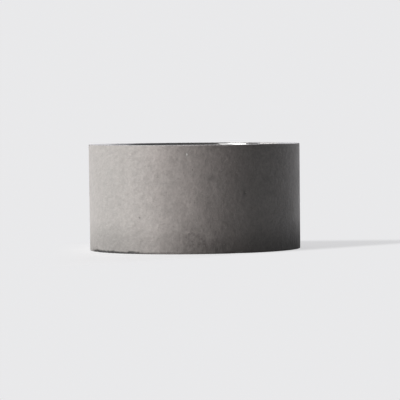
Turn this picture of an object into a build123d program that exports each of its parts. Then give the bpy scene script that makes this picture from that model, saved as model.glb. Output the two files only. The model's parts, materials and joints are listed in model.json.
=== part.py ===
from build123d import *
import os

# A precast concrete culvert ring, standing on its base as it is stored and as it is stacked.
# Origin: middle of the base. +Z runs up the bore. All lengths are millimetres.

# The ring is sold by its clear bore; wall and height are the mould's own two sizes.
BORE_DIAMETER = 800.0
WALL_THICKNESS = 100.0
RING_HEIGHT = 500.0

# Concrete never fills a knife edge, so three arrises of the wall are small rounds.
TOP_OUTER_ARRIS = 3.0     # struck level with the mould's rim, the crispest edge
BASE_OUTER_ARRIS = 5.0    # round left by the fillet of the base pallet
BASE_INNER_ARRIS = 5.0

# The mouth of the bore is eased with a float once the core is drawn. The float is drawn down
# the bore, so the easing is a quarter of an ellipse, narrow on the top and tall in the bore.
MOUTH_EASING_WIDTH = 4.0
MOUTH_EASING_HEIGHT = 13.0

PARTS_FOLDER = "parts"


def wall_section():
    """The wall cut through the bore's axis: two flat ends, two plumb sides and four eased arrises."""
    bore_radius = BORE_DIAMETER / 2
    outer_radius = bore_radius + WALL_THICKNESS
    easing_centre = (bore_radius + MOUTH_EASING_WIDTH, RING_HEIGHT - MOUTH_EASING_HEIGHT)
    arris_at_corner = {
        (outer_radius, RING_HEIGHT): TOP_OUTER_ARRIS,
        (outer_radius, 0): BASE_OUTER_ARRIS,
        (bore_radius, 0): BASE_INNER_ARRIS,
    }
    with BuildSketch(Plane.XZ) as section:
        with BuildLine():
            mouth = EllipticalCenterArc(
                easing_centre, MOUTH_EASING_WIDTH, MOUTH_EASING_HEIGHT, start_angle=90, arc_size=90
            )
            FilletPolyline(mouth @ 0, *arris_at_corner, mouth @ 1, radius=list(arris_at_corner.values()))
        make_face()
    return section.sketch


def concrete_ring():
    """The cast body: the wall's section turned once round the bore's axis."""
    with BuildPart() as ring:
        add(wall_section())
        revolve(axis=Axis.Z)
    return ring.part


os.makedirs(PARTS_FOLDER, exist_ok=True)
export_step(concrete_ring(), f"{PARTS_FOLDER}/concrete_ring.step")
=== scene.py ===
# %% [markdown]
# # A precast concrete culvert ring
# The real ring is a short length of pipe, cast upright in a steel mould and struck level at the top.
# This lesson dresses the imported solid: the same ring is spun again with enough faces to carry the
# rounded arrises, the air holes and the chips of real concrete, and every face gets a finish.
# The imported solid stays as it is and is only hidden, so the ring keeps its size and its place.

import json
import math
import random

import bmesh
import bpy
from mathutils import Matrix, Vector, kdtree, noise


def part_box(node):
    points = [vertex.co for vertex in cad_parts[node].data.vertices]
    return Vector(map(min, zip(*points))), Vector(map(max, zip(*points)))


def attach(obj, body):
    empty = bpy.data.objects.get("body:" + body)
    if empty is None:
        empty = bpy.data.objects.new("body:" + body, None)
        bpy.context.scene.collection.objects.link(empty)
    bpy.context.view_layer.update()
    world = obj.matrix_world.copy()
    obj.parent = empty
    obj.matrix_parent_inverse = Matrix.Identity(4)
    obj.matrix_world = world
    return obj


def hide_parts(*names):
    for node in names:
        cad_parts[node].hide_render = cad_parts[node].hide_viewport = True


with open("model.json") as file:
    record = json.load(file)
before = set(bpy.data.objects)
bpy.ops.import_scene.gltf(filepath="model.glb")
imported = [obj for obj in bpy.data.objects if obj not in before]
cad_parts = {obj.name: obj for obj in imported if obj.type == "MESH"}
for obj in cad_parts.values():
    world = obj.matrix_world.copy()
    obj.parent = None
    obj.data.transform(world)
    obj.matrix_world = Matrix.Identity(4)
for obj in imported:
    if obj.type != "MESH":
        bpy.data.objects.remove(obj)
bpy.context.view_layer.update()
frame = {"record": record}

# %% [markdown]
# ## Sizes
# Everything is in metres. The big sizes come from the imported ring: its box gives the outer radius
# and the height, and the bore mount in its record gives the bore. So nothing here has to be fitted.

# %% Sizes of the ring
RING = "concrete_ring"
MM = 0.001
low_corner, high_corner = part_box(RING)
OUTER_RADIUS = (high_corner.x - low_corner.x) / 2
HEIGHT = high_corner.z - low_corner.z
bore_mount = next(mount for mount in frame["record"]["mounts"] if mount["name"] == "bore")
BORE_RADIUS = bore_mount["dims"]["r_mm"] * MM
print(f"outer radius {OUTER_RADIUS:.3f}, bore radius {BORE_RADIUS:.3f}, height {HEIGHT:.3f}")

# %% [markdown]
# ## Camera
# The photograph looks at the ring almost level with its top, from far away, so its sides run nearly
# parallel. A long lens from 13 m does that. The lens is worked out from how wide the ring is in the
# frame, and the ring stands a little off plumb there, so the camera is rolled by the same angle.

# %% Camera
CAMERA_DISTANCE = 13.0
CAMERA_HEIGHT = 0.665
AIM_RIGHT = 25.2 * MM            # the frame's middle is this far right of the bore's axis
AIM_HEIGHT = 231.25 * MM
CAMERA_ROLL = math.radians(-0.66)
FRAME_PIXELS = 400
RING_HALF_WIDTH_PIXELS = 105.53
SENSOR_WIDTH = 36.0

camera_data = bpy.data.cameras.new("camera")
camera_data.sensor_width = SENSOR_WIDTH
tangent_distance = math.sqrt(CAMERA_DISTANCE**2 - OUTER_RADIUS**2)
camera_data.lens = SENSOR_WIDTH / FRAME_PIXELS * RING_HALF_WIDTH_PIXELS * tangent_distance / OUTER_RADIUS
camera_data.clip_end = 1000
camera = bpy.data.objects.new("camera", camera_data)
bpy.context.scene.collection.objects.link(camera)
bpy.context.scene.camera = camera
camera.location = (0, -CAMERA_DISTANCE, CAMERA_HEIGHT)
line_of_sight = Vector((AIM_RIGHT, 0, AIM_HEIGHT)) - camera.location
camera.rotation_mode = "QUATERNION"
roll = Matrix.Rotation(CAMERA_ROLL, 4, "Z").to_quaternion()
camera.rotation_quaternion = line_of_sight.to_track_quat("-Z", "Y") @ roll
bpy.context.scene.view_settings.view_transform = "Standard"
print(f"lens {camera_data.lens:.1f} mm")

# %% [markdown]
# ## The wall's section
# The ring could be a cylinder with a hole cut through it, but a boolean leaves long thin faces that
# shade badly. Turning the wall's section round the bore gives even rows of square faces instead.
# A corner of the section gets a support point on each side. It keeps the shading of the flat faces
# flat when the corner is rounded later.

# %% Section of the wall
TOP_OUTER_ARRIS = 3.0 * MM
BASE_OUTER_ARRIS = 3.5 * MM
BASE_INNER_ARRIS = 5.0 * MM
MOUTH_WIDTH = 4.0 * MM           # the mouth of the bore is eased, narrow and tall
MOUTH_HEIGHT = 13.0 * MM
SUPPORT = 1.5 * MM

# corner of the section: radius, height, and how far its support points stand along each side
CORNERS = {
    "base_inner": (BORE_RADIUS, 0.0, BASE_INNER_ARRIS + SUPPORT, BASE_INNER_ARRIS + SUPPORT),
    "base_outer": (OUTER_RADIUS, 0.0, BASE_OUTER_ARRIS + SUPPORT, BASE_OUTER_ARRIS + SUPPORT),
    "top_outer": (OUTER_RADIUS, HEIGHT, TOP_OUTER_ARRIS + SUPPORT, TOP_OUTER_ARRIS + SUPPORT),
    "mouth": (BORE_RADIUS, HEIGHT, MOUTH_WIDTH + SUPPORT, MOUTH_HEIGHT + SUPPORT),
}
WALL_ROWS = 38
BORE_ROWS = 24
END_ROWS = {"top": 8, "base": 4}


def wall_section():
    """Four corners with their supports, joined into one closed outline, its long sides cut in rows."""
    section = bmesh.new()
    outline = []
    for name, (radius, height, along_end, along_side) in CORNERS.items():
        inwards = 1 if radius == BORE_RADIUS else -1
        upwards = 1 if height == 0 else -1
        on_end = (radius + inwards * along_end, height)
        on_side = (radius, height + upwards * along_side)
        starts_on_end = name in ("base_outer", "mouth")
        points = (on_end, (radius, height), on_side)
        outline += points if starts_on_end else points[::-1]
    points = [section.verts.new((radius, 0, height)) for radius, height in outline]
    sides = [section.edges.new((point, points[index - 1])) for index, point in enumerate(points)]
    bore_side, base_side, wall_side, top_side = sides[0::3]
    for side, rows in (
        (bore_side, BORE_ROWS), (base_side, END_ROWS["base"]), (wall_side, WALL_ROWS), (top_side, END_ROWS["top"]),
    ):
        bmesh.ops.subdivide_edges(section, edges=[side], cuts=rows - 1)
    return section


ring = wall_section()
print(f"section: {len(ring.verts)} points")

# %% [markdown]
# ## Turn the section round the bore
# One full spin of 360 steps puts a column of faces on every degree, fine enough that the outline of
# a one metre ring shows no corners. The last column is merged with the first, doubles are removed,
# and the normals are worked out again, because a spin may turn a shape inside out.

# %% Spin
COLUMNS = 360
bmesh.ops.spin(
    ring, geom=ring.verts[:] + ring.edges[:], cent=(0, 0, 0), axis=(0, 0, 1),
    angle=math.tau, steps=COLUMNS, use_merge=True,
)
bmesh.ops.remove_doubles(ring, verts=ring.verts[:], dist=0.001 * MM)
bmesh.ops.recalc_face_normals(ring, faces=ring.faces[:])
print(f"spun: {len(ring.faces)} faces, volume {ring.calc_volume():.4f} cubic metres")

# %% [markdown]
# ## Round the arrises
# Fresh concrete never fills a knife edge, and the top is eased with a float where the core is drawn.
# A bevel on each of the four corner loops does it. The mouth is a quarter ellipse and not a quarter
# circle: it is bevelled small and then drawn down the bore, which is how a float wears it.


# %% Bevels
def radius_of(point):
    return math.hypot(point.x, point.y)


def azimuth_of(point):
    """Degrees round the ring: 0 faces the camera, and the angle grows to the right."""
    return math.degrees(math.atan2(point.x, -point.y))


def corner_loop(bm, radius, height):
    """The edges that run round the ring at one corner of the section."""
    def on_corner(vert):
        return abs(radius_of(vert.co) - radius) < 0.1 * MM and abs(vert.co.z - height) < 0.1 * MM
    return [edge for edge in bm.edges if all(on_corner(vert) for vert in edge.verts)]


ARRIS_OF = {
    "base_inner": BASE_INNER_ARRIS,
    "base_outer": BASE_OUTER_ARRIS,
    "top_outer": TOP_OUTER_ARRIS,
    "mouth": MOUTH_WIDTH,
}
SEGMENTS_OF = {"base_inner": 4, "base_outer": 5, "top_outer": 4, "mouth": 12}
for name, (radius, height, *_) in CORNERS.items():
    bmesh.ops.bevel(
        ring, geom=corner_loop(ring, radius, height), offset=ARRIS_OF[name], offset_type="OFFSET",
        segments=SEGMENTS_OF[name], profile=0.5, affect="EDGES", material=-1,
    )
for vert in ring.verts:
    below_top = HEIGHT - vert.co.z
    if radius_of(vert.co) < BORE_RADIUS + MOUTH_WIDTH + 0.1 * MM and below_top < MOUTH_WIDTH + 0.1 * MM:
        vert.co.z = HEIGHT - below_top * MOUTH_HEIGHT / MOUTH_WIDTH
print(f"bevelled: {len(ring.faces)} faces")

# %% [markdown]
# ## Chips on the arrises
# A ring that has been lifted and set down loses small flakes from its arrises, most of them at the
# base. Each chip is a slanted cut across the corner, deepest in its middle and rough. The columns
# are cut finer there first, so that the chip has faces of its own and shows in the mesh as well.
# The first chips are where the photograph has them, the rest are scattered by a seeded draw.

# %% Where the chips are
CHIP_SEED = 11
# corner, azimuth in degrees, half length, depth from the corner's tip, how fresh the break is
PHOTO_CHIPS = [
    ("base_outer", -68.5, 42 * MM, 4.6 * MM, 0.0),
    ("base_outer", -52.0, 7 * MM, 3.0 * MM, 0.2),
    ("base_outer", -37.6, 8 * MM, 3.6 * MM, 0.2),
    ("base_outer", -31.6, 7 * MM, 3.8 * MM, 0.2),
    ("base_outer", 23.5, 80 * MM, 4.2 * MM, 1.0),
    ("top_outer", -82.0, 26 * MM, 3.6 * MM, 0.0),
]
SCATTERED_CHIPS = {"base_outer": 17, "top_outer": 9, "base_inner": 9, "mouth": 3}
CLEAR_VIEW = (-88, 60)           # the photograph shows no others between these two azimuths


def scattered_chips():
    draw = random.Random(CHIP_SEED)
    chips = []
    for name, count in SCATTERED_CHIPS.items():
        while count:
            azimuth = draw.uniform(-180, 180)
            half_length = draw.uniform(5, 16) * MM
            depth = ARRIS_OF[name] * draw.uniform(0.75, 1.15)
            if name.endswith("outer") and CLEAR_VIEW[0] < azimuth < CLEAR_VIEW[1]:
                continue
            chips.append((name, azimuth, half_length, depth, 0.5 + 0.5 * math.sin(azimuth)))
            count -= 1
    return chips


chips = PHOTO_CHIPS + scattered_chips()
print(f"{len(chips)} chips")

# %% Finer columns under the chips
CHIP_REACH = 14 * MM             # how far from the corner a chip may reach along either face
CHIP_CUTS = 4


def turn_between(first, second):
    """The smaller angle between two azimuths, in degrees, with its sign."""
    return (first - second + 180) % 360 - 180


def into_corner(point, name):
    """How deep a point lies inside the wall, measured from both faces of a corner."""
    radius, height = CORNERS[name][:2]
    from_side = (radius_of(point) - radius) * (1 if radius == BORE_RADIUS else -1)
    from_end = (point.z - height) * (1 if height == 0 else -1)
    return from_side, from_end


def under_chip(point, chip, margin):
    """How far round the ring a point is from a chip's middle, in half lengths, or None if clear of it."""
    name, azimuth, half_length, *_ = chip
    if max(into_corner(point, name)) > CHIP_REACH:
        return None
    along = math.radians(turn_between(azimuth_of(point), azimuth)) * CORNERS[name][0]
    share = along / half_length
    return share if abs(along) < half_length + margin else None


def is_round_edge(edge):
    first, second = edge.verts
    level = abs(first.co.z - second.co.z) < 0.01 * MM
    return level and abs(radius_of(first.co) - radius_of(second.co)) < 0.01 * MM


column_width = math.tau * OUTER_RADIUS / COLUMNS
edges_near_corners = [
    edge for edge in ring.edges
    if is_round_edge(edge) and any(max(into_corner(edge.verts[0].co, name)) < CHIP_REACH for name in CORNERS)
]
chip_edges = set()
for chip in chips:
    for edge in edges_near_corners:
        middle = (edge.verts[0].co + edge.verts[1].co) / 2
        if under_chip(middle, chip, column_width) is not None:
            chip_edges.add(edge)
bmesh.ops.subdivide_edges(ring, edges=sorted(chip_edges, key=lambda edge: edge.index), cuts=CHIP_CUTS)
print(f"cut finer: {len(chip_edges)} edges, now {len(ring.faces)} faces")

# %% [markdown]
# ## Cut the chips
# A vertex that lies in front of a chip's slanted face is pushed back onto it, straight across the
# corner. The face is roughened with noise about as coarse as the sand and small stones in the mix.
# How deep each vertex went is kept in an attribute, so that the finish can bare fresh concrete there.

# %% Chips
CHIP_ROUGHNESS = 0.35            # share of the depth that the broken face wanders
CHIP_GRAIN = 240.0               # noise cells a metre, about 4 mm each

chip_layer = ring.verts.layers.float.new("chip")
fresh_layer = ring.verts.layers.float.new("fresh")


def chip_depth(point, share, depth):
    outline = max(0.0, 1 - share**2) ** 0.6
    wander = 1 + CHIP_ROUGHNESS * noise.noise(point * CHIP_GRAIN)
    return depth * outline * wander


for chip in chips:
    name, _, _, depth, fresh = chip
    radius, height = CORNERS[name][:2]
    away_from_axis = 1 if radius == BORE_RADIUS else -1
    upwards = 1 if height == 0 else -1
    for vert in ring.verts:
        share = under_chip(vert.co, chip, 0.0)
        if share is None:
            continue
        from_side, from_end = into_corner(vert.co, name)
        missing = chip_depth(vert.co, share, depth) - (from_side + from_end) / math.sqrt(2)
        if missing <= 0:
            continue
        step = missing / math.sqrt(2)
        outwards = Vector((vert.co.x, vert.co.y, 0)).normalized()
        vert.co += outwards * away_from_axis * step
        vert.co.z += upwards * step
        vert[chip_layer] = min(1.0, vert[chip_layer] + missing / (0.2 * depth))
        vert[fresh_layer] = fresh
print("deepest chip mark:", max(vert[chip_layer] for vert in ring.verts))

# %% [markdown]
# ## Air holes
# Vibrated concrete keeps some air against the steel of the mould, and it leaves small round holes.
# Each hole takes one face of the grid: the face is cut into a fine grid of its own and the middle
# is pushed in like the bottom of a ball. Holes stand at least one face apart, so the fine grids
# never meet. A few are placed where the photograph shows a dark speck, the rest by a seeded draw.

# %% Where the holes are
HOLE_SEED = 5
# pixel across and down in the photograph, radius of the hole
PHOTO_HOLES = [
    (192.9, 169.6, 2.4 * MM),
    (157.7, 177.0, 2.0 * MM),
    (245.2, 193.0, 2.6 * MM),
    (96.5, 246.5, 2.6 * MM),
]
SCATTERED_HOLES = {"wall": 95, "bore": 70, "end": 42}
HOLE_SIZES = (0.9 * MM, 2.6 * MM)


def on_wall(pixel_x, pixel_y):
    """The point of the outer wall that the photograph shows at a pixel, by the camera's line of sight."""
    half_frame = FRAME_PIXELS / 2
    half_angle = SENSOR_WIDTH / 2 / camera_data.lens
    sideways = (pixel_x - half_frame) / half_frame * half_angle
    upwards = (half_frame - pixel_y) / half_frame * half_angle
    start = camera.location
    sight = camera.rotation_quaternion @ Vector((sideways, upwards, -1))
    level = sight.x**2 + sight.y**2
    towards = start.x * sight.x + start.y * sight.y
    beyond = start.x**2 + start.y**2 - OUTER_RADIUS**2
    reach = (-towards - math.sqrt(max(0.0, towards**2 - level * beyond))) / level
    return start + sight * reach


def scattered_hole(draw, place):
    azimuth = draw.uniform(-math.pi, math.pi)
    radius, height = OUTER_RADIUS, draw.uniform(0.02, 0.98) * HEIGHT
    if place == "bore":
        radius = BORE_RADIUS
    if place == "end":
        radius, height = draw.uniform(BORE_RADIUS + 0.012, OUTER_RADIUS - 0.012), HEIGHT
    size = HOLE_SIZES[0] + (HOLE_SIZES[1] - HOLE_SIZES[0]) * draw.random() ** 2.5
    return Vector((radius * math.sin(azimuth), -radius * math.cos(azimuth), height)), size


draw = random.Random(HOLE_SEED)
holes = [(on_wall(x, y), size) for x, y, size in PHOTO_HOLES]
for place, count in SCATTERED_HOLES.items():
    holes += [scattered_hole(draw, place) for _ in range(count)]
print(f"{len(holes)} holes wanted")

# %% [markdown]
# ## Pale grains
# Here and there a pale stone or a lime speck shows in the face. They lie flush, so they need no
# shape, only a patch of fine faces whose attribute says how pale they are.

# %% Where the pale grains are
# pixel across and down in the photograph, half width, half height, how pale
PHOTO_GRAINS = [
    (186.8, 154.2, 4.2 * MM, 7.0 * MM, 1.0),
    (104.8, 174.8, 2.8 * MM, 3.2 * MM, 0.35),
    (106.6, 225.5, 3.0 * MM, 3.4 * MM, 0.45),
    (120.0, 223.0, 2.6 * MM, 2.6 * MM, 0.3),
    (196.8, 222.6, 3.8 * MM, 2.8 * MM, 0.35),
]
grains = [(on_wall(x, y), width, height, pale) for x, y, width, height, pale in PHOTO_GRAINS]
print(f"{len(grains)} pale grains")

# %% Cut the faces under holes and grains finer
HOLE_CUTS = 9
SMALLEST_FACE = 60 * MM**2

ring.verts.index_update()
ring.faces.ensure_lookup_table()
big_faces = [face for face in ring.faces if len(face.verts) == 4 and face.calc_area() > SMALLEST_FACE]
finder = kdtree.KDTree(len(big_faces))
for index, face in enumerate(big_faces):
    finder.insert(face.calc_center_median(), index)
finder.balance()

taken = set()
fine_edges = set()


PATCH_REACH = 9.5 * MM


def claim_patch(point):
    """Take the faces round a point, so that what the photograph shows there can sit exactly on it."""
    patch = [big_faces[index] for centre, index, distance in finder.find_range(point, PATCH_REACH)]
    for face in patch:
        fine_edges.update(face.edges)
        taken.update(neighbour.index for vert in face.verts for neighbour in vert.link_faces)
    return point


def claim_face(point):
    """The free face nearest a point, marked as taken together with the faces round it."""
    for centre, index, distance in finder.find_n(point, 12):
        face = big_faces[index]
        around = {neighbour.index for vert in face.verts for neighbour in vert.link_faces}
        if not around & taken:
            taken.update(around)
            fine_edges.update(face.edges)
            return centre
    return None


placed_grains = [(claim_patch(point), *rest) for point, *rest in grains]
placed_holes = [(claim_patch(point), size) for point, size in holes[:len(PHOTO_HOLES)]]
placed_holes += [(claim_face(point), size) for point, size in holes[len(PHOTO_HOLES):]]
placed_holes = [(centre, size) for centre, size in placed_holes if centre]
bmesh.ops.subdivide_edges(
    ring, edges=sorted(fine_edges, key=lambda edge: edge.index), cuts=HOLE_CUTS, use_grid_fill=True,
)
print(f"{len(placed_holes)} holes and {len(placed_grains)} grains placed, {len(ring.faces)} faces")

# %% Push the holes in
HOLE_DEPTH = 0.85                # share of the radius, for a ball cut a little above its middle
HOLE_RAGGEDNESS = 0.22

pit_layer = ring.verts.layers.float.new("pit")
grain_layer = ring.verts.layers.float.new("grain")
ring.verts.ensure_lookup_table()
near = kdtree.KDTree(len(ring.verts))
for index, vert in enumerate(ring.verts):
    near.insert(vert.co, index)
near.balance()


def inward_at(point):
    """The way into the concrete from a point on the wall, the bore or the top."""
    outwards = Vector((point.x, point.y, 0)).normalized()
    if point.z > HEIGHT - 0.1 * MM:
        return Vector((0, 0, -1))
    return -outwards if radius_of(point) > (OUTER_RADIUS + BORE_RADIUS) / 2 else outwards


for centre, size in placed_holes:
    inward = inward_at(centre)
    for point, index, distance in near.find_range(centre, size * (1 + HOLE_RAGGEDNESS)):
        ragged = size * (1 + HOLE_RAGGEDNESS * noise.noise((point - centre) * 900 + centre * 50))
        share = distance / ragged
        if share < 1:
            ring.verts[index].co += inward * ragged * HOLE_DEPTH * math.sqrt(1 - share**2)
            ring.verts[index][pit_layer] = 1.0
for centre, half_width, half_height, pale in placed_grains:
    for point, index, distance in near.find_range(centre, 8 * MM):
        offset = point - centre
        along = math.hypot(offset.x, offset.y) / half_width
        share = math.hypot(along, offset.z / half_height)
        ring.verts[index][grain_layer] = pale * max(0.0, min(1.0, 2.2 * (1 - share)))
print("vertices in holes:", sum(1 for vert in ring.verts if vert[pit_layer] > 0))

# %% [markdown]
# ## Out of true
# A mould gives a little. The wall wanders by less than a millimetre, it narrows slightly towards
# the base so that the ring can be drawn, and the struck top falls a few millimetres from one side
# to the other. All of these only take concrete away, so the ring stays inside its packed size.

# %% Small errors of the mould
WALL_WANDER = 0.7 * MM
WALL_WANDER_SCALE = 3.0          # noise cells a metre
MOULD_DRAFT = 1.5 * MM
TOP_FALL = 3.2 * MM
TOP_ROUGHNESS = 0.25 * MM
HUMP_AZIMUTH = math.radians(47)  # the trowel left the outer edge a little high here
HUMP_REACH = 190 * MM
HUMP_RISE = 1.4 * MM


def waviness(point, scale):
    """Smooth noise from 0 to 1, never past either end."""
    return min(1.0, max(0.0, 0.5 + 0.7 * noise.noise(point * scale)))


hump = Vector((math.sin(HUMP_AZIMUTH), -math.cos(HUMP_AZIMUTH), 0)) * OUTER_RADIUS
for vert in ring.verts:
    co = vert.co
    outwards = Vector((co.x, co.y, 0)).normalized()
    from_hump = min(1.0, (Vector((co.x, co.y, 0)) - hump).length / HUMP_REACH)
    share_out = (radius_of(co) - BORE_RADIUS) / (OUTER_RADIUS - BORE_RADIUS)
    wander = WALL_WANDER * waviness(co, WALL_WANDER_SCALE)
    share_up = co.z / HEIGHT
    side = (1 + co.x / OUTER_RADIUS) / 2
    co -= outwards * share_out * (wander + MOULD_DRAFT * (1 - share_up))
    co += outwards * (1 - share_out) * wander
    co.z -= share_up * TOP_FALL * side
    co.z -= share_up**8 * TOP_ROUGHNESS * waviness(co + Vector((7, 0, 0)), 14)
    co.z += share_up**8 * HUMP_RISE * (0.5 + 0.5 * math.cos(math.pi * from_hump))
bmesh.ops.recalc_face_normals(ring, faces=ring.faces[:])
print(f"volume {ring.calc_volume():.4f} cubic metres")

# %% [markdown]
# ## Wear along the arrises
# The rounded arrises are rubbed paler than the faces. The finish needs to know where they are, so
# each vertex gets a number that is 1 on an arris and fades to 0 over a centimetre.

# %% Mark the arrises
ARRIS_FADE = 11 * MM

arris_layer = ring.verts.layers.float.new("arris")
for vert in ring.verts:
    nearest = min(math.hypot(*into_corner(vert.co, name)) for name in ("base_outer", "top_outer"))
    vert[arris_layer] = max(0.0, 1 - nearest / ARRIS_FADE) ** 1.5

# %% [markdown]
# ## Which face gets which finish
# The ring has three skins. The outer wall and the base took the smooth face of the mould. The top
# was struck and trowelled, which draws a paler, closer skin of cement to it. The face of the bore
# is dark and glossy in the photograph, as it is when a ring is painted with bituminous sealer, so
# the bore and its eased mouth get a coat. It is a finish on the same casting and not a second piece.

# %% Sort the faces
CAST, TROWELLED, SEALED = range(3)

for face in ring.faces:
    middle = face.calc_center_median()
    top_here = HEIGHT - TOP_FALL * (1 + middle.x / OUTER_RADIUS) / 2
    if radius_of(middle) < BORE_RADIUS + MOUTH_WIDTH + WALL_WANDER and face.normal.z > -0.5:
        face.material_index = SEALED
    elif face.normal.z > 0.8 and middle.z > top_here - 8 * MM:
        face.material_index = TROWELLED
    else:
        face.material_index = CAST
    face.smooth = True
counts = [sum(1 for face in ring.faces if face.material_index == skin) for skin in (CAST, TROWELLED, SEALED)]
print("faces cast, trowelled, sealed:", counts)

# %% Make the ring an object
ring_mesh = bpy.data.meshes.new("culvert_ring")
triangles = sum(len(face.verts) - 2 for face in ring.faces)
ring.to_mesh(ring_mesh)
ring.free()
ring_piece = bpy.data.objects.new("culvert_ring", ring_mesh)
bpy.context.scene.collection.objects.link(ring_piece)
print(f"{triangles} triangles")

# %% [markdown]
# ## Helpers for the finishes
# A finish is a graph of nodes. One helper adds a node and wires or sets its inputs, and a few small
# ones stand for what a finish needs again and again: noise, a change of range, a product and a mix.


# %% Node helpers
def add(tree, kind, inputs=None, **settings):
    """One node. An input given as a socket is wired, anything else is set on it."""
    made = tree.nodes.new("ShaderNode" + kind)
    for name, value in settings.items():
        setattr(made, name, value)
    for name, value in (inputs or {}).items():
        if isinstance(value, bpy.types.NodeSocket):
            tree.links.new(value, made.inputs[name])
        else:
            made.inputs[name].default_value = value
    return made


def grain_noise(tree, place, scale, detail=2.0, roughness=0.5):
    """Noise from 0 to 1 with this many cells a metre."""
    inputs = {"Vector": place, "Scale": scale, "Detail": detail, "Roughness": roughness}
    return add(tree, "TexNoise", inputs).outputs["Fac"]


def ranged(tree, value, from_low, from_high, to_low, to_high, smooth=False):
    """A value carried from one range to another and held inside it."""
    inputs = {"Value": value, "From Min": from_low, "From Max": from_high, "To Min": to_low, "To Max": to_high}
    kind = "SMOOTHSTEP" if smooth else "LINEAR"
    return add(tree, "MapRange", inputs, interpolation_type=kind).outputs["Result"]


def calculated(tree, operation, first, second):
    return add(tree, "Math", {0: first, 1: second}, operation=operation).outputs[0]


def product(tree, values):
    result = values[0]
    for value in values[1:]:
        result = calculated(tree, "MULTIPLY", result, value)
    return result


def mixed(tree, factor, first, second, kind="MIX"):
    inputs = {0: factor, 6: first, 7: second}
    return add(tree, "Mix", inputs, data_type="RGBA", blend_type=kind).outputs[2]


def marked(tree, name):
    """The number that the mesh carries at each vertex under this name."""
    return add(tree, "Attribute", attribute_name=name, attribute_type="GEOMETRY").outputs["Fac"]


def new_finish(name):
    finish = bpy.data.materials.new(name)
    finish.use_nodes = True
    tree = finish.node_tree
    tree.nodes.clear()
    skin = add(tree, "BsdfPrincipled")
    output = add(tree, "OutputMaterial", {"Surface": skin.outputs["BSDF"]})
    output.is_active_output = True
    place = add(tree, "TexCoord").outputs["Object"]
    return finish, tree, skin, place


def fill(tree, skin, inputs):
    for name, value in inputs.items():
        if isinstance(value, bpy.types.NodeSocket):
            tree.links.new(value, skin.inputs[name])
        else:
            skin.inputs[name].default_value = value


# %% [markdown]
# ## Finish: concrete off the mould
# Smooth cast concrete is a warm grey that is never even. Cement gathers in clouds a hand wide,
# mottles of two to four centimetres lie over them, and sand shows as a fine grain. An even noise
# would look like cloth, so several scales are multiplied, each with its own small swing. All of it
# is painted in the object's own coordinates, so the pattern stays on the ring from every side.

# %% Tone of the cement
CAST_COLOUR = (0.436, 0.420, 0.402, 1)
ROSY_COLOUR = (0.460, 0.420, 0.403, 1)
# from where to where the mottling grows stronger, measured right of the axis
ROUGHER_MIDDLE = (-0.38, -0.20)
ROUGHER_RIGHT = (0.22, 0.36)


def cement_tone(tree, place, across, mottle, sand):
    """One number that makes the colour paler or darker, about 1."""
    clouds = grain_noise(tree, place, 4.5, 3.0)
    blotches = grain_noise(tree, place, 75.0, 3.0, 0.5)
    runs = add(tree, "VectorMath", {0: place, 1: (34.0, 34.0, 2.2)}, operation="MULTIPLY").outputs[0]
    streaks = grain_noise(tree, runs, 1.0, 3.0, 0.5)
    even = product(tree, [
        ranged(tree, clouds, 0.3, 0.7, 0.965, 1.035),
        ranged(tree, mottle, 0.3, 0.7, 0.90, 1.10),
        ranged(tree, blotches, 0.3, 0.7, 0.925, 1.075),
        ranged(tree, streaks, 0.3, 0.7, 0.985, 1.015),
        ranged(tree, sand, 0.25, 0.75, 0.95, 1.05),
    ])
    rougher = product(tree, [
        ranged(tree, across, *ROUGHER_MIDDLE, 0.90, 1.08, smooth=True),
        ranged(tree, across, *ROUGHER_RIGHT, 1.0, 1.40, smooth=True),
    ])
    swing = product(tree, [calculated(tree, "SUBTRACT", even, 1.0), rougher])
    return calculated(tree, "ADD", 1.0, swing)
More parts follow.
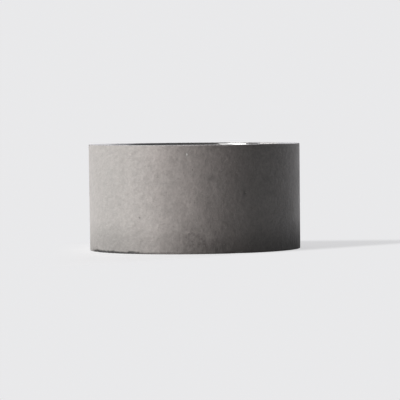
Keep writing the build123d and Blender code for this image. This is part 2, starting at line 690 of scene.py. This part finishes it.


# %% [markdown]
# ## Blotches and painted light
# Where water stood against the mould the cement dries darker or paler, in patches that no noise puts
# in the right place. Many entries are painted light and shade instead: the bands that run the whole
# height, the dark band under the rim and the broad pale and dark patches lighten or darken the wall
# where the lamps alone give the wrong fall of light. The larger ones of the photograph are written
# down one by one: where they are, how far they reach and how strong they are. The place is shaken by
# noise first, so that none of them is a plain oval. The wall behind has only the noise.

# %% Blotches and painted light
# pixel across and down in the photograph, half width, half height, how much paler or darker
# small entries are the cement's own patches; the full-height bands, the band under the rim and the broad pale and
# dark patches are painted light and shade
BLOTCHES_AND_PAINTED_LIGHT = [
    (245.2, 193.0, 20 * MM, 34 * MM, -0.27),
    (211.0, 178.0, 36 * MM, 24 * MM, -0.24),
    (193.0, 169.6, 17 * MM, 17 * MM, -0.10),
    (157.7, 177.0, 24 * MM, 24 * MM, -0.10),
    (163.0, 165.0, 22 * MM, 22 * MM, -0.12),
    (170.0, 194.0, 22 * MM, 76 * MM, -0.06),
    (234.0, 176.0, 34 * MM, 40 * MM, -0.12),
    (252.0, 178.0, 32 * MM, 44 * MM, -0.10),
    (268.0, 178.0, 50 * MM, 32 * MM, -0.10),
    (273.0, 192.0, 80 * MM, 22 * MM, -0.10),
    (208.0, 206.0, 46 * MM, 72 * MM, -0.10),
    (254.0, 221.0, 24 * MM, 62 * MM, -0.10),
    (230.0, 222.0, 60 * MM, 60 * MM, -0.10),
    (237.0, 241.0, 50 * MM, 34 * MM, -0.12),
    (205.0, 185.0, 60 * MM, 260 * MM, -0.06),
    (215.0, 190.0, 28 * MM, 44 * MM, 0.12),
    (188.0, 201.0, 40 * MM, 52 * MM, 0.06),
    (156.0, 158.0, 120 * MM, 90 * MM, 0.12),
    (154.0, 226.0, 110 * MM, 130 * MM, 0.12),
    (266.0, 206.0, 90 * MM, 80 * MM, 0.12),
    (262.0, 168.0, 90 * MM, 80 * MM, 0.12),
    (214.0, 147.0, 230 * MM, 26 * MM, -0.15),
    (270.0, 190.0, 150 * MM, 300 * MM, 0.08),
    (108.0, 195.0, 160 * MM, 500 * MM, -0.09),
    (158.0, 195.0, 240 * MM, 500 * MM, 0.10),
    (218.0, 195.0, 150 * MM, 500 * MM, -0.07),
    (245.0, 195.0, 90 * MM, 500 * MM, 0.05),
    (288.0, 228.0, 150 * MM, 200 * MM, -0.20),
    (224.0, 222.0, 110 * MM, 150 * MM, -0.08),
    (152.0, 149.0, 140 * MM, 40 * MM, 0.10),
    (99.0, 146.0, 130 * MM, 26 * MM, -0.09),
    (256.0, 146.5, 70 * MM, 24 * MM, -0.14),
    (287.5, 222.0, 85 * MM, 160 * MM, -0.14),
    (296.5, 236.0, 70 * MM, 110 * MM, 0.18),
    (206.0, 226.0, 190 * MM, 80 * MM, -0.10),
    (170.0, 215.0, 110 * MM, 80 * MM, -0.07),
]
BLOTCH_WANDER = 26 * MM


def blotch_share(tree, shaken, blotch):
    """1 in the middle of a blotch, fading to 0 at its edge."""
    pixel_x, pixel_y, half_width, half_height, _ = blotch
    away = add(tree, "VectorMath", {0: shaken, 1: on_wall(pixel_x, pixel_y)}, operation="SUBTRACT").outputs[0]
    shape = (1 / half_width, 1 / half_width, 1 / half_height)
    shaped = add(tree, "VectorMath", {0: away, 1: shape}, operation="MULTIPLY").outputs[0]
    distance = add(tree, "VectorMath", {0: shaped}, operation="LENGTH").outputs["Value"]
    return ranged(tree, distance, 0.0, 1.0, 1.0, 0.0, smooth=True)


def shaken_place(tree, place, scale, reach):
    wander = add(tree, "TexNoise", {"Vector": place, "Scale": scale, "Detail": 3.0}).outputs["Color"]
    centred = add(tree, "VectorMath", {0: wander, 1: (0.5, 0.5, 0.5)}, operation="SUBTRACT").outputs[0]
    moved = add(tree, "VectorMath", {0: centred, 1: (reach, reach, reach)}, operation="MULTIPLY").outputs[0]
    return add(tree, "VectorMath", {0: place, 1: moved}, operation="ADD").outputs[0]


def blotch_and_painted_light_tone(tree, place):
    shaken = shaken_place(tree, place, 30.0, BLOTCH_WANDER)
    shares = [(blotch_share(tree, shaken, blotch), blotch[-1]) for blotch in BLOTCHES_AND_PAINTED_LIGHT]
    return product(tree, [ranged(tree, share, 0.0, 1.0, 1.0, 1 + strength) for share, strength in shares])


# %% [markdown]
# ## Damp, dirt and painted shade at the foot
# The foot of the ring is darker towards the bottom, with an uneven upper edge: partly damp and dirt
# drawn up into it, partly painted shade where the foot meets the floor and its own shadow. How much
# it darkens changes along the wall, so a ramp over the ring's width gives its strength, and the lower
# right corner is darkened further. A patch of it is crusted in small cells, and the very edge it stands
# on is painted black at the left, as the shade in the gap under the lifted arris.

# %% Damp, dirt and painted shade at the foot
# the foot band is damp and painted shade together: where it starts to show and where it is full
DAMP_AND_SHADE_TOP = 0.165                 # where the damp starts to show
DAMP_AND_SHADE_FOOT = 0.020                # where it is at its full strength
# how far right of the axis, what the damp and the painted shade leave of the tone there
DAMP_AND_SHADE_ALONG = [
    (-0.46, 0.76), (-0.35, 0.74), (-0.19, 0.87), (-0.10, 0.76), (0.0, 0.54),
    (0.10, 0.48), (0.18, 0.58), (0.26, 0.62), (0.34, 0.68), (0.42, 0.60),
]
# the lower right corner is darkened further: partly painted shade of the ring's own shadow on the floor, partly stain
CORNER_STAIN_AND_SHADE = (299.0, 252.0, 340 * MM, 200 * MM, -0.60)
CRUST = (198.0, 238.0, 120 * MM, 64 * MM, -0.13)
# painted shade: the black line in the gap under the lifted arris at the left of the foot
CONTACT_SHADE_EDGE = (7 * MM, 12 * MM)


def damp_and_shade_along(tree, across):
    """What the damp and the painted shade leave of the tone, from one side of the ring to the other."""
    ramp = add(tree, "ValToRGB", {"Fac": ranged(tree, across, -OUTER_RADIUS, OUTER_RADIUS, 0.0, 1.0)})
    stops = ramp.color_ramp.elements
    for index, (right, left_over) in enumerate(DAMP_AND_SHADE_ALONG):
        position = 0.5 + right / OUTER_RADIUS / 2
        stop = stops[index] if index < 2 else stops.new(position)
        stop.position = position
        stop.color = (left_over, left_over, left_over, 1)
    return ramp.outputs["Color"]


def foot_dirt_and_shade(tree, place, across, up):
    """How dark the damp, dirt and painted shade make the foot, and how much of it there is."""
    edge_wander = ranged(tree, grain_noise(tree, place, 5.5, 4.0, 0.6), 0.3, 0.7, -0.030, 0.030)
    height_here = calculated(tree, "ADD", up, edge_wander)
    damp_and_shade_share = ranged(tree, height_here, DAMP_AND_SHADE_FOOT, DAMP_AND_SHADE_TOP, 1.0, 0.0, smooth=True)
    damp_and_shade_band = ranged(tree, damp_and_shade_share, 0.0, 1.0, 1.0, damp_and_shade_along(tree, across))

    shaken = shaken_place(tree, place, 9.0, 90 * MM)
    stain_and_shade_share = blotch_share(tree, shaken, CORNER_STAIN_AND_SHADE)
    stain_and_shade = ranged(tree, stain_and_shade_share, 0.0, 1.0, 1.0, 1 + CORNER_STAIN_AND_SHADE[-1])

    crust_share = blotch_share(tree, shaken, CRUST)
    uneven = shaken_place(tree, place, 60.0, 10 * MM)
    cells = add(tree, "TexVoronoi", {"Vector": uneven, "Scale": 74.0}, feature="F1").outputs["Distance"]
    crusted = ranged(tree, cells, 0.20, 0.62, 1 + 1.8 * CRUST[-1], 1 - 0.7 * CRUST[-1])
    crust = ranged(tree, crust_share, 0.0, 0.6, 1.0, crusted)

    # painted shade along the very edge the ring stands on, strongest at the left
    edge_height = calculated(tree, "ADD", up, ranged(tree, grain_noise(tree, place, 26.0), 0.3, 0.7, -3 * MM, 3 * MM))
    contact_shade = ranged(tree, edge_height, *CONTACT_SHADE_EDGE, 1.0, 0.0)
    contact_shade_here = product(tree, [
        ranged(tree, across, -0.31, -0.17, 0.97, 0.40), ranged(tree, across, -0.17, -0.05, 1.0, 0.4),
    ])
    contact_shade_here = product(tree, [contact_shade_here, ranged(tree, across, -0.485, -0.465, 0.2, 1.0)])
    contact_shade_factor = calculated(tree, "SUBTRACT", 1.0, calculated(tree, "MULTIPLY", contact_shade, contact_shade_here))
    amount = calculated(tree, "MAXIMUM", stain_and_shade_share, calculated(tree, "MULTIPLY", damp_and_shade_share, 0.4))
    return product(tree, [damp_and_shade_band, stain_and_shade, crust, contact_shade_factor]), amount


# %% [markdown]
# ## Pin holes, broken edges and relief
# Pin holes sit in the skin, painted dark as the shade inside them, and so are the air holes; a few pale
# sand grains sit there too. A chip bares rough stone, pale where it is fresh and dark where it is old;
# the dark of the old breaks is dirt and also painted shade under the chipped foot at the left. Light that
# grazes the wall shows every swell left by the mould's plate, so the relief has a slow swell under the
# mottle, far too low to see in the outline.

# %% Cast concrete
WORN_COLOUR = (0.62, 0.60, 0.57, 1)
FRESH_BREAK = (0.60, 0.58, 0.55, 1)
# dirt of an old break, and painted shade in the gaps of the chips at the left of the foot
OLD_BREAK_AND_SHADE = (0.10, 0.094, 0.088, 1)
PALE_GRAIN_COLOUR = (0.90, 0.89, 0.87, 1)
# painted shade inside the air holes and pin holes
PIT_SHADE_COLOUR = (0.10, 0.095, 0.09, 1)
SWELL_HEIGHT = 2.2               # millimetres, as are all heights in the relief


def broken_colour(tree, place):
    stones = ranged(tree, grain_noise(tree, place, 210.0, 2.0), 0.35, 0.65, 0.72, 1.18)
    break_colour = mixed(tree, marked(tree, "fresh"), OLD_BREAK_AND_SHADE, FRESH_BREAK)
    return mixed(tree, 1.0, break_colour, stones, "MULTIPLY")


def scattered_specks(tree, place):
    """Pin holes and pale grains of sand, one in some of the cells of a Voronoi pattern."""
    cells = add(tree, "TexVoronoi", {"Vector": place, "Scale": 150.0}, feature="F1")
    chance = add(tree, "SeparateColor", {"Color": cells.outputs["Color"]})
    pin_here = ranged(tree, chance.outputs["Red"], 0.90, 0.91, 0.0, 1.0)
    pin_core = ranged(tree, cells.outputs["Distance"], 0.10, 0.24, 1.0, 0.0)
    speck_here = ranged(tree, chance.outputs["Green"], 0.93, 0.94, 0.0, 1.0)
    speck_core = ranged(tree, cells.outputs["Distance"], 0.16, 0.30, 1.0, 0.0)
    return calculated(tree, "MULTIPLY", pin_here, pin_core), calculated(tree, "MULTIPLY", speck_here, speck_core)


def cast_concrete():
    finish, tree, skin, place = new_finish("cast_concrete")
    parts = add(tree, "SeparateXYZ", {"Vector": place})
    across, up = parts.outputs["X"], parts.outputs["Z"]
    mottle = grain_noise(tree, place, 32.0, 5.0, 0.62)
    sand = grain_noise(tree, place, 460.0, 2.0, 0.6)
    dirt_and_shade, dirt_amount = foot_dirt_and_shade(tree, place, across, up)
    cement = cement_tone(tree, place, across, mottle, sand)
    tone = product(tree, [cement, blotch_and_painted_light_tone(tree, place), dirt_and_shade])

    rosy_left = ranged(tree, across, -0.42, -0.05, 0.15, 0.95, smooth=True)
    rosy = calculated(tree, "MULTIPLY", rosy_left, ranged(tree, across, 0.16, 0.32, 1.0, 0.15, smooth=True))
    rosy = calculated(tree, "MULTIPLY", rosy, ranged(tree, grain_noise(tree, place, 7.0, 3.0), 0.3, 0.7, 0.75, 1.15))
    colour = mixed(tree, 1.0, mixed(tree, rosy, CAST_COLOUR, ROSY_COLOUR), tone, "MULTIPLY")
    pins, specks = scattered_specks(tree, place)
    colour = mixed(tree, calculated(tree, "MULTIPLY", marked(tree, "arris"), 0.07), colour, WORN_COLOUR)
    colour = mixed(tree, calculated(tree, "MULTIPLY", specks, 0.22), colour, PALE_GRAIN_COLOUR)
    colour = mixed(tree, calculated(tree, "MULTIPLY", pins, 0.45), colour, PIT_SHADE_COLOUR)
    colour = mixed(tree, calculated(tree, "MULTIPLY", marked(tree, "chip"), 0.85), colour, broken_colour(tree, place))
    colour = mixed(tree, marked(tree, "grain"), colour, PALE_GRAIN_COLOUR)
    colour = mixed(tree, calculated(tree, "MULTIPLY", marked(tree, "pit"), 0.45), colour, PIT_SHADE_COLOUR)

    gloss = ranged(tree, mottle, 0.3, 0.7, 0.42, 0.56)
    gloss = calculated(tree, "ADD", gloss, calculated(tree, "MULTIPLY", marked(tree, "chip"), 0.35))
    gloss = calculated(tree, "ADD", gloss, calculated(tree, "MULTIPLY", dirt_amount, 0.25))
    swell = grain_noise(tree, place, 46.0, 2.5, 0.5)
    heights = [product(tree, [swell, SWELL_HEIGHT]), product(tree, [mottle, 1.4]), product(tree, [sand, 0.10])]
    relief = calculated(tree, "ADD", calculated(tree, "ADD", heights[0], heights[1]), heights[2])
    relief = calculated(tree, "SUBTRACT", relief, product(tree, [pins, 0.45]))
    bump = add(tree, "Bump", {"Strength": 1.0, "Distance": 1.0 * MM, "Height": relief})
    fill(tree, skin, {"Base Color": colour, "Roughness": gloss, "Normal": bump.outputs["Normal"]})
    return finish


# %% [markdown]
# ## Finish: the struck and trowelled top
# A trowel closes the top and leaves faint arcs that follow the ring. The distance from the axis,
# stretched, feeds the noise, so its grain runs round the ring. Seen almost edge on, so close a skin
# mirrors the pale background, which is why the top looks nearly white in the photograph.

# %% Trowelled top
TROWELLED_COLOUR = (0.50, 0.485, 0.462, 1)


def trowelled_top():
    finish, tree, skin, place = new_finish("trowelled_top")
    flat = add(tree, "VectorMath", {0: place, 1: (1.0, 1.0, 0.0)}, operation="MULTIPLY").outputs[0]
    from_axis = add(tree, "VectorMath", {0: flat}, operation="LENGTH").outputs["Value"]
    lines, drift = product(tree, [from_axis, 260.0]), product(tree, [grain_noise(tree, place, 5.0), 9.0])
    ring_lines = add(tree, "CombineXYZ", {"X": lines, "Y": drift}).outputs[0]
    strokes = grain_noise(tree, ring_lines, 1.0, 3.0, 0.55)
    mottle = grain_noise(tree, place, 26.0, 4.0, 0.6)
    sand = grain_noise(tree, place, 520.0, 2.0, 0.6)
    tone = product(tree, [
        ranged(tree, strokes, 0.3, 0.7, 0.95, 1.05),
        ranged(tree, mottle, 0.3, 0.7, 0.90, 1.08),
        ranged(tree, sand, 0.25, 0.75, 0.96, 1.04),
    ])
    colour = mixed(tree, 1.0, TROWELLED_COLOUR, tone, "MULTIPLY")
    colour = mixed(tree, calculated(tree, "MULTIPLY", marked(tree, "arris"), 0.1), colour, WORN_COLOUR)
    colour = mixed(tree, calculated(tree, "MULTIPLY", marked(tree, "chip"), 0.8), colour, broken_colour(tree, place))
    colour = mixed(tree, calculated(tree, "MULTIPLY", marked(tree, "pit"), 0.6), colour, PIT_SHADE_COLOUR)
    gloss = ranged(tree, mottle, 0.3, 0.7, 0.17, 0.27)
    relief = calculated(tree, "ADD", product(tree, [strokes, 0.5]), product(tree, [sand, 0.08]))
    bump = add(tree, "Bump", {"Strength": 0.2, "Distance": 0.3 * MM, "Height": relief})
    fill(tree, skin, {"Base Color": colour, "Roughness": gloss, "Normal": bump.outputs["Normal"]})
    return finish


# %% [markdown]
# ## Finish: the sealed bore
# Bituminous sealer dries to a black skin. It stands thick and smooth on the eased mouth, where it
# gives the photograph's white glint, and thins out below into broad laps with brush lines in them.
# So the roughness grows down the bore, in one graph, and no edge shows between gloss and satin. The
# photograph's rim is pale over one stretch on the right, where the glossy bore mirrors the pale
# background. That pale stretch is a painted reflection: a ball round that place, with a ragged edge of
# noise, paints the mouth a pale concrete colour and makes it rough there.

# %% Sealed bore
SEALER_COLOUR = (0.110, 0.108, 0.104, 1)
SEALER_THIN_COLOUR = (0.150, 0.146, 0.139, 1)
SEALER_IOR = 3.0
GLOSS_DEPTH = 30 * MM            # the glossy bead ends this far below the top
SATIN_DEPTH = 90 * MM
# a pale patch on the mouth is a painted reflection of the pale background
PAINTED_REFLECTION_AZIMUTH = math.radians(110)
PAINTED_REFLECTION_REACH = (108 * MM, 140 * MM)
PAINTED_REFLECTION_DEPTH = (10 * MM, 22 * MM)
PAINTED_REFLECTION_COLOUR = (0.66, 0.64, 0.61, 1)
PAINTED_REFLECTION_DARK = (0.34, 0.325, 0.30, 1)


def sealed_bore():
    finish, tree, skin, place = new_finish("sealed_bore")
    stretched = add(tree, "VectorMath", {0: place, 1: (9.0, 9.0, 120.0)}, operation="MULTIPLY").outputs[0]
    brush = grain_noise(tree, stretched, 1.0, 3.0, 0.6)
    laps = grain_noise(tree, place, 6.0, 3.0, 0.5)
    below_top = calculated(tree, "SUBTRACT", HEIGHT, add(tree, "SeparateXYZ", {"Vector": place}).outputs["Z"])
    satin = ranged(tree, below_top, GLOSS_DEPTH, SATIN_DEPTH, 0.0, 1.0, smooth=True)
    thin = ranged(tree, calculated(tree, "ADD", brush, laps), 0.85, 1.25, 0.0, 1.0)
    colour = mixed(tree, thin, SEALER_COLOUR, SEALER_THIN_COLOUR)

    # the stretch of the mouth with the painted reflection of the pale background
    middle = (BORE_RADIUS * math.sin(PAINTED_REFLECTION_AZIMUTH), -BORE_RADIUS * math.cos(PAINTED_REFLECTION_AZIMUTH), HEIGHT)
    away = add(tree, "VectorMath", {0: place, 1: middle}, operation="DISTANCE").outputs["Value"]
    ragged = ranged(tree, grain_noise(tree, place, 90.0, 5.0, 0.7), 0.3, 0.7, -11 * MM, 11 * MM)
    across = ranged(tree, calculated(tree, "ADD", away, ragged), *PAINTED_REFLECTION_REACH, 1.0, 0.0)
    down = ranged(tree, calculated(tree, "ADD", below_top, ragged), *PAINTED_REFLECTION_DEPTH, 1.0, 0.0)
    painted_reflection = calculated(tree, "MULTIPLY", across, down)
    reflection_tone = mixed(tree, grain_noise(tree, place, 120.0, 3.0), PAINTED_REFLECTION_COLOUR, PAINTED_REFLECTION_DARK)
    colour = mixed(tree, painted_reflection, colour, reflection_tone)
    colour = mixed(tree, calculated(tree, "MULTIPLY", marked(tree, "chip"), 0.9), colour, broken_colour(tree, place))

    gloss = ranged(tree, satin, 0.0, 1.0, 0.07, 0.40)
    gloss = calculated(tree, "ADD", gloss, calculated(tree, "MULTIPLY", thin, 0.10))
    gloss = ranged(tree, painted_reflection, 0.0, 1.0, gloss, 0.60)
    relief = calculated(tree, "ADD", product(tree, [brush, satin, 1.6]), product(tree, [laps, 1.0]))
    bump = add(tree, "Bump", {"Strength": 0.3, "Distance": 0.5 * MM, "Height": relief})
    fill(tree, skin, {
        "Base Color": colour, "Roughness": gloss, "IOR": SEALER_IOR, "Normal": bump.outputs["Normal"],
    })
    return finish


# %% Put the finishes on
for finish in (cast_concrete(), trowelled_top(), sealed_bore()):
    ring_mesh.materials.append(finish)
print("finishes:", [finish.name for finish in ring_mesh.materials])

# %% [markdown]
# ## Floor
# The ring stands on a pale studio sweep that has no horizon. The floor glows a little for the camera
# and for reflections only, and takes the rest of its tone from the lamp, so it keeps the ring's
# shadow. Far out the lamp's share fades away and the floor ends at the tone of the sky behind it.
# The photograph is bleached, so of the shadow it keeps only the core: its edge at the front runs
# back from the ring's right side, and it ends where the sweep starts to rise. The lamp's share fades
# along the same two lines. Inside the bore it stays, and the glow keeps the tone even across them.
# The ring's foot mirrors the floor in its own shade, so a mirrored floor is dimmer near the ring.

# %% Floor
SWEEP_TONE = 0.815               # linear tone of the pale background
PALE_COLOUR = (1.0, 1.0, 1.014, 1)
FLOOR_GLOW = 0.585
FLOOR_COLOUR = 0.43              # what the camera sees take the lamp's light
FLOOR_BOUNCE = 0.15              # what the floor gives back to the ring
FADE_START, FADE_END = 1.0, 8.0
NEAR_RING, NEAR_SHARE = (0.5, 0.9), 0.48
SWEEP_RISES = (0.49, 0.80)       # this far behind the axis the sweep leaves the lamp's light
SHADOW_TURN = math.radians(47)   # the shadow's front edge turns back by this much from the right
SHADOW_EDGE = (-0.26, -0.08)     # how far in front of that edge the lamp's share fades
LEFT_EDGE = (-0.70, -0.46)       # no shadow falls to the left, where the lamp's share fades too
FLOOR_SIZE = 400.0

floor_bm = bmesh.new()
bmesh.ops.create_grid(floor_bm, x_segments=1, y_segments=1, size=FLOOR_SIZE / 2)
floor_mesh = bpy.data.meshes.new("floor")
floor_bm.to_mesh(floor_mesh)
floor_bm.free()
floor = bpy.data.objects.new("floor", floor_mesh)
bpy.context.scene.collection.objects.link(floor)

floor_finish, tree, floor_skin, place = new_finish("pale_sweep")
rays = add(tree, "LightPath")
from_ring = add(tree, "VectorMath", {0: place}, operation="LENGTH").outputs["Value"]
mirrored = calculated(tree, "MAXIMUM", rays.outputs["Is Glossy Ray"], rays.outputs["Is Transmission Ray"])
mirrored = calculated(tree, "MULTIPLY", mirrored, ranged(tree, from_ring, *NEAR_RING, NEAR_SHARE, 1.0, smooth=True))
seen = calculated(tree, "MAXIMUM", rays.outputs["Is Camera Ray"], mirrored)
lit_share = ranged(tree, from_ring, FADE_START, FADE_END, 1.0, 0.0, smooth=True)
parts = add(tree, "SeparateXYZ", {"Vector": place})
from_corner = add(tree, "VectorMath", {0: place, 1: (OUTER_RADIUS, 0, 0)}, operation="SUBTRACT").outputs[0]
edge_normal = (-math.sin(SHADOW_TURN), math.cos(SHADOW_TURN), 0)
past_edge = add(tree, "VectorMath", {0: from_corner, 1: edge_normal}, operation="DOT_PRODUCT").outputs["Value"]
shaded = product(tree, [
    ranged(tree, past_edge, *SHADOW_EDGE, 0.0, 1.0, smooth=True),
    ranged(tree, parts.outputs["Y"], *SWEEP_RISES, 1.0, 0.0, smooth=True),
    ranged(tree, parts.outputs["X"], *LEFT_EDGE, 0.0, 1.0, smooth=True),
])
in_bore = ranged(tree, from_ring, BORE_RADIUS, OUTER_RADIUS, 1.0, 0.0)
seen_share = calculated(tree, "MULTIPLY", lit_share, calculated(tree, "MAXIMUM", shaded, in_bore))
bounce, shown = product(tree, [lit_share, FLOOR_BOUNCE]), product(tree, [seen_share, FLOOR_COLOUR])
tone = ranged(tree, seen, 0.0, 1.0, bounce, shown)
fill(tree, floor_skin, {"Base Color": tone, "Roughness": 1.0, "Specular IOR Level": 0.0})
glow_strength = calculated(tree, "MULTIPLY", ranged(tree, seen_share, 0.0, 1.0, SWEEP_TONE, FLOOR_GLOW), seen)
glow = add(tree, "Emission", {"Color": PALE_COLOUR, "Strength": glow_strength})
both = add(tree, "AddShader", {0: floor_skin.outputs["BSDF"], 1: glow.outputs["Emission"]})
output = next(node for node in tree.nodes if node.type == "OUTPUT_MATERIAL")
tree.links.new(both.outputs["Shader"], output.inputs["Surface"])
floor_mesh.materials.append(floor_finish)

# %% [markdown]
# ## Light
# One wide softbox stands at the left and a little in front. The room behind the camera is dark and
# the pale background lights the ring from behind, which is why its right side falls off to dark
# grey and lifts again at the very edge. The sky below gives that light by its direction, and shows
# the camera nothing but the even pale tone.

# %% Softboxes
# azimuth and elevation in degrees, width and height in degrees as the ring sees it, level, colour
SOFTBOXES = {
    "softbox": (-68.0, 22.0, 21.0, 40.0, 0.845, (1.0, 0.985, 0.97)),
    "softbox_edge": (-47.5, 20.0, 20.0, 26.0, 0.148, (1.0, 0.985, 0.97)),
    "low_sweep": (-103.0, 4.5, 26.0, 8.0, 0.22, (1.0, 0.985, 0.97)),
}
LAMP_DISTANCE = 30.0

for name, (azimuth, elevation, width, height, level, colour) in SOFTBOXES.items():
    around, up = math.radians(azimuth), math.radians(elevation)
    towards = Vector((math.sin(around) * math.cos(up), -math.cos(around) * math.cos(up), math.sin(up)))
    lamp_data = bpy.data.lights.new(name, "AREA")
    lamp_data.shape = "RECTANGLE"
    lamp_data.size = 2 * LAMP_DISTANCE * math.tan(math.radians(width / 2))
    lamp_data.size_y = 2 * LAMP_DISTANCE * math.tan(math.radians(height / 2))
    lamp_data.energy = level * (math.pi * LAMP_DISTANCE) ** 2
    lamp_data.color = colour
    lamp = bpy.data.objects.new(name, lamp_data)
    lamp.visible_camera = False
    bpy.context.scene.collection.objects.link(lamp)
    lamp.location = Vector((0, 0, HEIGHT)) + towards * LAMP_DISTANCE
    lamp.rotation_mode = "QUATERNION"
    lamp.rotation_quaternion = (-towards).to_track_quat("-Z", "Y")
    print(f"{name}: {lamp_data.size:.1f} by {lamp_data.size_y:.1f} m, {lamp_data.energy:.0f} W")

# %% Sky
ROOM_FRONT = 0.085
BACK_LIGHT = 0.80                # what the pale background gives the ring
LIGHT_TURN = (0.2, 0.9)          # its light comes in across these directions, from side to back
MIRROR_TURN = (0.02, 0.45)      # the same for what a glossy skin mirrors
CEILING_SHARE = 0.3
SKY_COLOUR = (0.995, 0.99, 1.045, 1)

sky = bpy.data.worlds.new("sky")
bpy.context.scene.world = sky
sky.use_nodes = True
tree = sky.node_tree
tree.nodes.clear()
direction = add(tree, "SeparateXYZ", {"Vector": add(tree, "TexCoord").outputs["Generated"]})
rays = add(tree, "LightPath")
mirrored = calculated(tree, "MAXIMUM", rays.outputs["Is Glossy Ray"], rays.outputs["Is Transmission Ray"])
lit_back = ranged(tree, direction.outputs["Y"], *LIGHT_TURN, ROOM_FRONT, BACK_LIGHT, smooth=True)
mirror_back = ranged(tree, direction.outputs["Y"], *MIRROR_TURN, ROOM_FRONT, SWEEP_TONE, smooth=True)
back = ranged(tree, mirrored, 0.0, 1.0, lit_back, mirror_back)
overhead = ranged(tree, direction.outputs["Z"], 0.5, 0.95, 1.0, CEILING_SHARE, smooth=True)
room = add(tree, "Background", {"Color": SKY_COLOUR, "Strength": calculated(tree, "MULTIPLY", back, overhead)})
pale = add(tree, "Background", {"Color": PALE_COLOUR, "Strength": SWEEP_TONE})
shown = add(tree, "MixShader", {0: rays.outputs["Is Camera Ray"], 1: room.outputs[0], 2: pale.outputs[0]})
add(tree, "OutputWorld", {"Surface": shown.outputs[0]})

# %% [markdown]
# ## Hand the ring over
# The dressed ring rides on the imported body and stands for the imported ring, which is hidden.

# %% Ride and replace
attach(ring_piece, "root")
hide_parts(RING)
